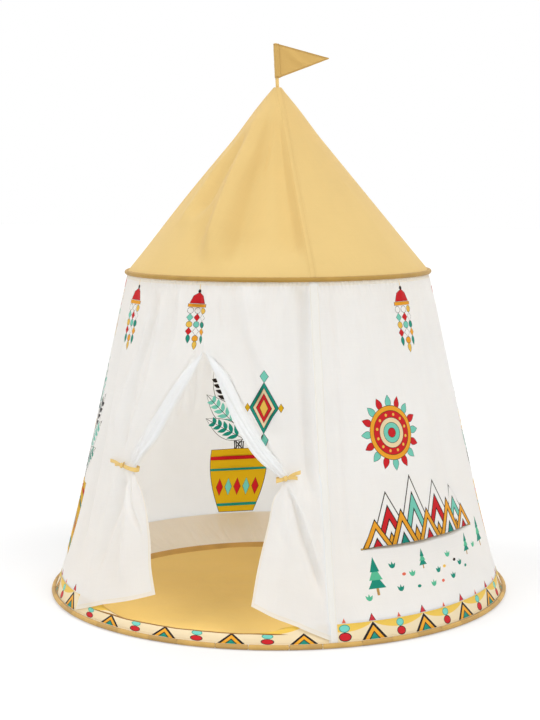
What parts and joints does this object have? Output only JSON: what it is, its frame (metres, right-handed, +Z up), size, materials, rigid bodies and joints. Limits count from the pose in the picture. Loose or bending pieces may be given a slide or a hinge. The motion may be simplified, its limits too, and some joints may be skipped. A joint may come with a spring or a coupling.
{
  "type": "play tent",
  "caption": "Round play tent for a child: a hooped and poled frame, a fabric wall with a tied-back door, a cone roof, a floor mat and a swivelling pennant flag.",
  "frame": {"origin": "on the floor, under the tip of the roof, at the centre of the base hoop", "axes": "+Z up, the door faces -Y, +X to the right of someone who looks in at the door"},
  "size_m": [1.1592, 1.1592, 1.3673],
  "materials": {
    "white_cotton": "matt plain weave, off-white",
    "gold_cotton": "matt plain weave, golden yellow",
    "gold_mat": "matt canvas, golden yellow",
    "gold_piping": "folded cotton strip, dark gold",
    "cream_tape": "matt cotton tape, cream",
    "border_print": "cotton printed with a geometric border",
    "gold_ribbon": "narrow cotton ribbon, golden yellow",
    "ground_cloth": "thin coated ground cloth, beige",
    "glass_fibre": "glass-fibre rod, off-white",
    "moulded_joint": "moulded plastic, off-white",
    "flagpole_wood": "turned wood, pale, matt lacquer"
  },
  "bodies": {
    "tent": {"door_header": "white_cotton", "left_curtain": "white_cotton", "right_curtain": "white_cotton", "wall_panel_right": "white_cotton", "wall_panel_back": "white_cotton", "wall_panel_left": "white_cotton", "roof_gore_1": "gold_cotton", "roof_gore_2": "gold_cotton", "roof_gore_3": "gold_cotton", "floor_mat": "gold_mat", "base_piping": "gold_piping", "eave_piping": "gold_piping", "pole_pocket_1": "cream_tape", "pole_pocket_2": "cream_tape", "pole_pocket_3": "cream_tape", "border_band": "border_print", "left_tie": "gold_ribbon", "right_tie": "gold_ribbon", "ground_sheet": "ground_cloth", "base_hoop_rod_1": "glass_fibre", "base_hoop_rod_2": "glass_fibre", "base_hoop_rod_3": "glass_fibre", "eave_hoop_rod_1": "glass_fibre", "eave_hoop_rod_2": "glass_fibre", "eave_hoop_rod_3": "glass_fibre", "wall_pole_1": "glass_fibre", "wall_pole_2": "glass_fibre", "wall_pole_3": "glass_fibre", "roof_rod_1": "glass_fibre", "roof_rod_2": "glass_fibre", "roof_rod_3": "glass_fibre", "base_connector_1": "moulded_joint", "base_connector_2": "moulded_joint", "base_connector_3": "moulded_joint", "eave_connector_1": "moulded_joint", "eave_connector_2": "moulded_joint", "eave_connector_3": "moulded_joint", "apex_hub": "moulded_joint"},
    "left_tail": {"left_curtain_tail": "white_cotton"},
    "right_tail": {"right_curtain_tail": "white_cotton"},
    "flagpole_body": {"flagpole": "flagpole_wood"},
    "flag_body": {"flag": "gold_cotton"}
  },
  "joints": [
    {"name": "left_tail_swing", "type": "hinge", "parent": "tent", "child": "left_tail", "pos_m": [-0.32517, -0.46894, 0.0135], "axis": [-0.1506, -0.2073, -0.9666], "range_deg": [0, 50]},
    {"name": "right_tail_swing", "type": "hinge", "parent": "tent", "child": "right_tail", "pos_m": [0.32517, -0.46894, 0.0135], "axis": [-0.1506, 0.2073, 0.9666], "range_deg": [0, 50]},
    {"name": "flagpole_lift", "type": "slide", "parent": "tent", "child": "flagpole_body", "axis": [-0.0399, -0.0175, 0.999], "range_m": [0, 0.028]},
    {"name": "flag_swivel", "type": "hinge", "parent": "flagpole_body", "child": "flag_body", "pos_m": [0, 0, 1.256], "axis": [-0.0399, -0.0175, 0.999], "continuous": true}
  ]
}
